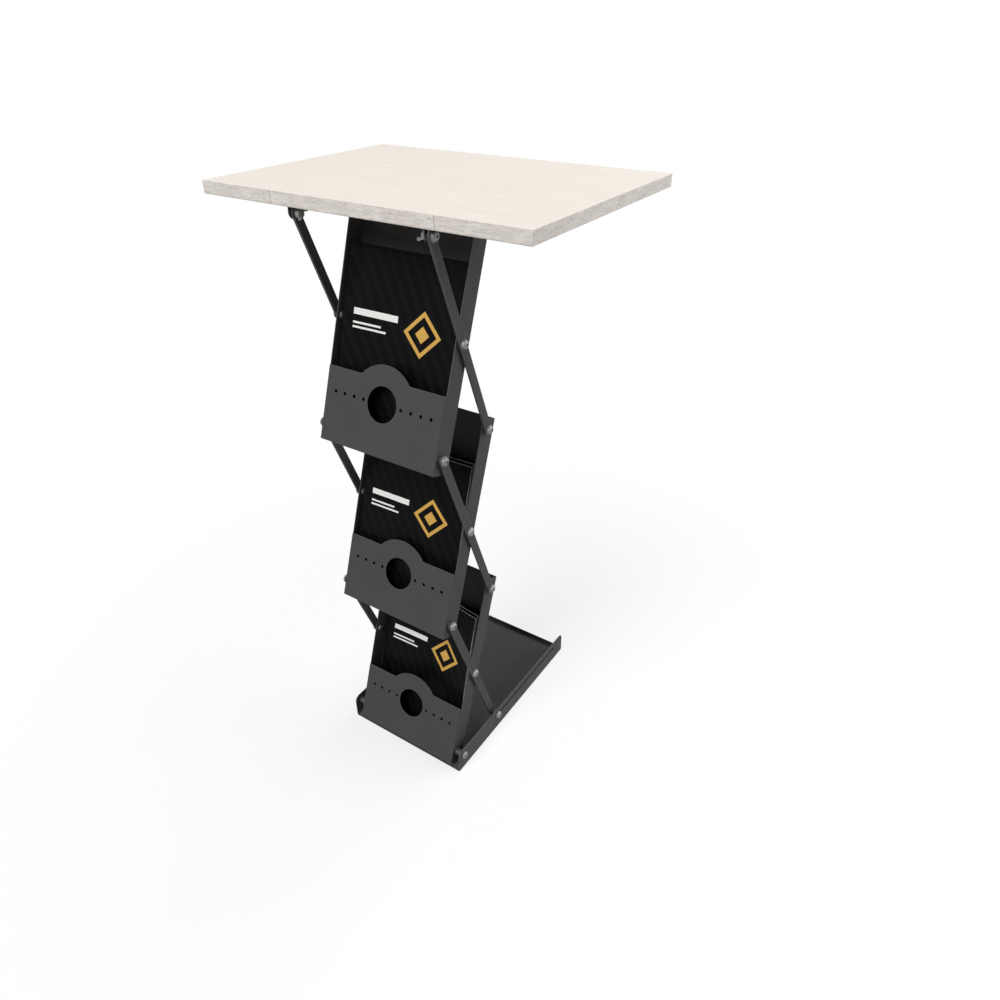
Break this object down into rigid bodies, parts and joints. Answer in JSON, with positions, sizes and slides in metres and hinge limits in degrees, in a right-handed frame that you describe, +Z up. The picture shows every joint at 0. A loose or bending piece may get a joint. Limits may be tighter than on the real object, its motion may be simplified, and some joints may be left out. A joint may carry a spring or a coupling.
{
  "type": "exhibition counter with brochure rack",
  "caption": "Folding exhibition counter: a table top with folding leaves on a scissor rack of tilted, perforated sheet-steel A4 brochure pockets that stands in a shallow base tray.",
  "frame": {"origin": "on the floor, under the middle of the whole object's box", "axes": "+Z up; the pockets face -Y, towards the person who takes a brochure; +X is to that person's right"},
  "size_m": [0.564, 0.409, 1.0481],
  "materials": {
    "coated_steel": "satin anthracite powder coat",
    "zinc": "dull zinc plate",
    "laminate": "whitewashed wood-grain laminate on board",
    "printed_card": "dark semi-gloss print"
  },
  "bodies": {
    "base": {"base_tray": "coated_steel", "base_pin_left": "zinc", "base_pin_right": "zinc"},
    "pocket_bottom": {"pocket_tray_bottom": "coated_steel", "pocket_lip_bottom": "coated_steel", "display_card_bottom": "printed_card", "rivet_cross_bottom_left": "zinc", "rivet_cross_bottom_right": "zinc", "rivet_upper_bottom_left": "zinc", "rivet_upper_bottom_right": "zinc"},
    "bars_bottom": {"bar_bottom_left": "coated_steel", "bar_bottom_right": "coated_steel", "slide_pin_left": "zinc", "slide_pin_right": "zinc"},
    "pocket_middle": {"pocket_tray_middle": "coated_steel", "pocket_lip_middle": "coated_steel", "display_card_middle": "printed_card", "rivet_lower_middle_left": "zinc", "rivet_lower_middle_right": "zinc", "rivet_cross_middle_left": "zinc", "rivet_cross_middle_right": "zinc", "rivet_upper_middle_left": "zinc", "rivet_upper_middle_right": "zinc"},
    "bars_middle": {"bar_middle_left": "coated_steel", "bar_middle_right": "coated_steel"},
    "pocket_top": {"pocket_tray_top": "coated_steel", "pocket_lip_top": "coated_steel", "display_card_top": "printed_card", "rivet_lower_top_left": "zinc", "rivet_lower_top_right": "zinc", "rivet_cross_top_left": "zinc", "rivet_cross_top_right": "zinc", "runner_pin_left": "zinc", "runner_pin_right": "zinc"},
    "bars_top": {"bar_top_left": "coated_steel", "bar_top_right": "coated_steel"},
    "table": {"table_panel_middle": "laminate", "table_bracket_left": "zinc", "table_bracket_right": "zinc", "bracket_bolt_left": "zinc", "bracket_bolt_right": "zinc", "table_rail_left": "coated_steel", "table_rail_right": "coated_steel", "hinge_barrel_middle_left_front": "zinc", "hinge_barrel_middle_left_rear": "zinc", "hinge_barrel_middle_right_front": "zinc", "hinge_barrel_middle_right_rear": "zinc"},
    "leaf_left": {"table_leaf_left": "laminate", "hinge_barrel_leaf_left_front": "zinc", "hinge_barrel_leaf_left_rear": "zinc"},
    "leaf_right": {"table_leaf_right": "laminate", "hinge_barrel_leaf_right_front": "zinc", "hinge_barrel_leaf_right_rear": "zinc"},
    "links_left": {"hinge_link_left_front": "zinc", "hinge_link_left_rear": "zinc"},
    "links_right": {"hinge_link_right_front": "zinc", "hinge_link_right_rear": "zinc"},
    "wing_left": {"wing_nut_left": "zinc"},
    "wing_right": {"wing_nut_right": "zinc"}
  },
  "joints": [
    {"name": "fold", "type": "hinge", "parent": "base", "child": "pocket_bottom", "pos_m": [0, -0.18252, 0.03397], "axis": [-1, 0, 0], "range_deg": [0, 63]},
    {"name": "bars_bottom_cross", "type": "hinge", "parent": "pocket_bottom", "child": "bars_bottom", "pos_m": [0, -0.12227, 0.19773], "axis": [1, 0, 0], "range_deg": [0, 126]},
    {"name": "pocket_middle_pivot", "type": "hinge", "parent": "bars_bottom", "child": "pocket_middle", "pos_m": [0, -0.18252, 0.3615], "axis": [-1, 0, 0], "range_deg": [0, 126]},
    {"name": "bars_middle_cross", "type": "hinge", "parent": "pocket_middle", "child": "bars_middle", "pos_m": [0, -0.12227, 0.52527], "axis": [1, 0, 0], "range_deg": [0, 126]},
    {"name": "pocket_top_pivot", "type": "hinge", "parent": "bars_middle", "child": "pocket_top", "pos_m": [0, -0.18252, 0.68903], "axis": [-1, 0, 0], "range_deg": [0, 126]},
    {"name": "bars_top_cross", "type": "hinge", "parent": "pocket_top", "child": "bars_top", "pos_m": [0, -0.12227, 0.8528], "axis": [1, 0, 0], "range_deg": [0, 126]},
    {"name": "table_pivot", "type": "hinge", "parent": "bars_top", "child": "table", "pos_m": [0, -0.18252, 1.01657], "axis": [-1, 0, 0], "range_deg": [0, 63]},
    {"name": "leaf_left_fold", "type": "hinge", "parent": "table", "child": "leaf_left", "pos_m": [-0.142, 0, 1.04832], "axis": [0, 1, 0], "range_deg": [0, 180]},
    {"name": "leaf_right_fold", "type": "hinge", "parent": "table", "child": "leaf_right", "pos_m": [0.142, 0, 1.04832], "axis": [0, -1, 0], "range_deg": [0, 180]},
    {"name": "links_left_turn", "type": "hinge", "parent": "table", "child": "links_left", "pos_m": [-0.142, 0, 1.04832], "axis": [0, 1, 0], "range_deg": [0, 90]},
    {"name": "links_right_turn", "type": "hinge", "parent": "table", "child": "links_right", "pos_m": [0.142, 0, 1.04832], "axis": [0, -1, 0], "range_deg": [0, 90]},
    {"name": "wing_left_turn", "type": "hinge", "parent": "table", "child": "wing_left", "pos_m": [-0.111, -0.18252, 1.01657], "axis": [1, 0, 0], "continuous": true},
    {"name": "wing_right_turn", "type": "hinge", "parent": "table", "child": "wing_right", "pos_m": [0.111, -0.18252, 1.01657], "axis": [1, 0, 0], "continuous": true}
  ],
  "couplings": [
    {"joint": "bars_bottom_cross", "follows": "fold", "ratio": 2},
    {"joint": "pocket_middle_pivot", "follows": "fold", "ratio": 2},
    {"joint": "bars_middle_cross", "follows": "fold", "ratio": 2},
    {"joint": "pocket_top_pivot", "follows": "fold", "ratio": 2},
    {"joint": "bars_top_cross", "follows": "fold", "ratio": 2},
    {"joint": "table_pivot", "follows": "fold", "ratio": 1},
    {"joint": "links_left_turn", "follows": "leaf_left_fold", "ratio": 0.5},
    {"joint": "links_right_turn", "follows": "leaf_right_fold", "ratio": 0.5}
  ]
}
